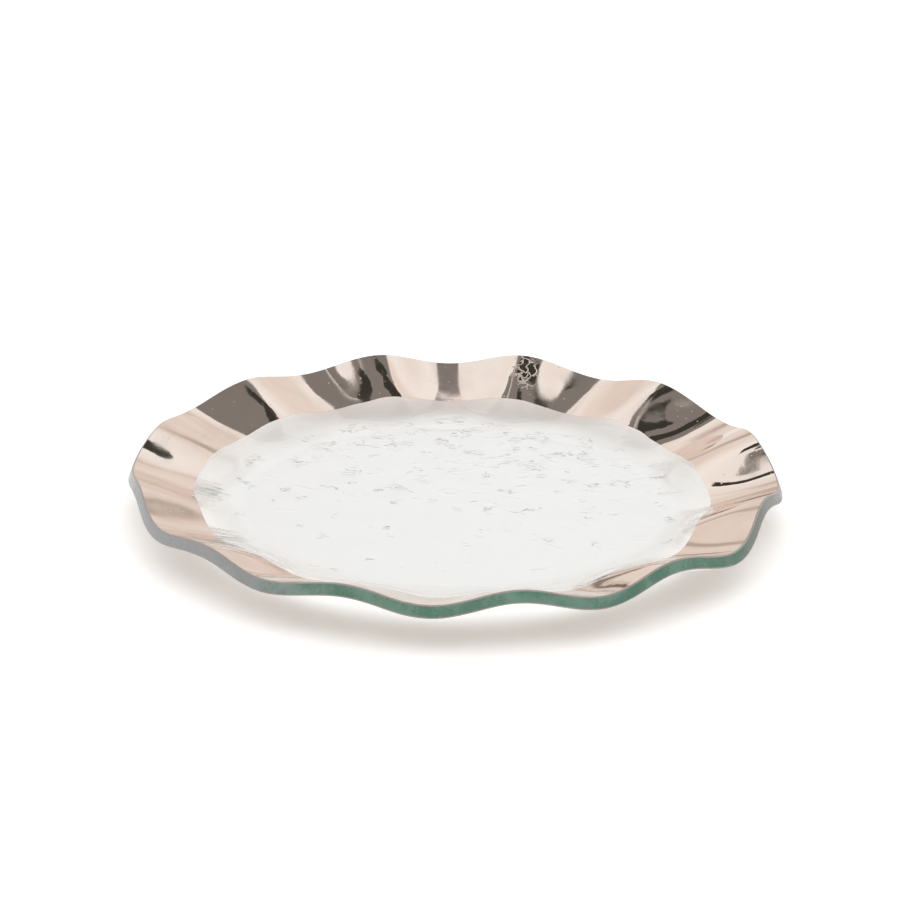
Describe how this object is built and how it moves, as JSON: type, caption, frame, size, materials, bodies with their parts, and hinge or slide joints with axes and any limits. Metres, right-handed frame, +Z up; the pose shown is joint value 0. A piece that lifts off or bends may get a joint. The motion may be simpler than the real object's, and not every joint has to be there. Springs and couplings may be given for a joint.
{
  "type": "salad plate",
  "caption": "Round glass salad plate with a flat well, a shallow ruffled rim and a wide mirror-bright metal band on the rim's upper face, for serving food at table.",
  "frame": {"origin": "centre of the flat underside of the well, where the plate stands", "axes": "+Z up out of the well, +X to the right and +Y away from the viewer of the picture"},
  "size_m": [0.2398, 0.2396, 0.0213],
  "materials": {
    "glass": "clear float glass, glossy, green in the thickness of its edge, dashed texture on the underside of the well",
    "fired_metal": "mirror-bright warm silver film with fine specks"
  },
  "bodies": {
    "root": {"glass_plate": "glass", "metal_rim_band": "fired_metal"}
  },
  "joints": []
}
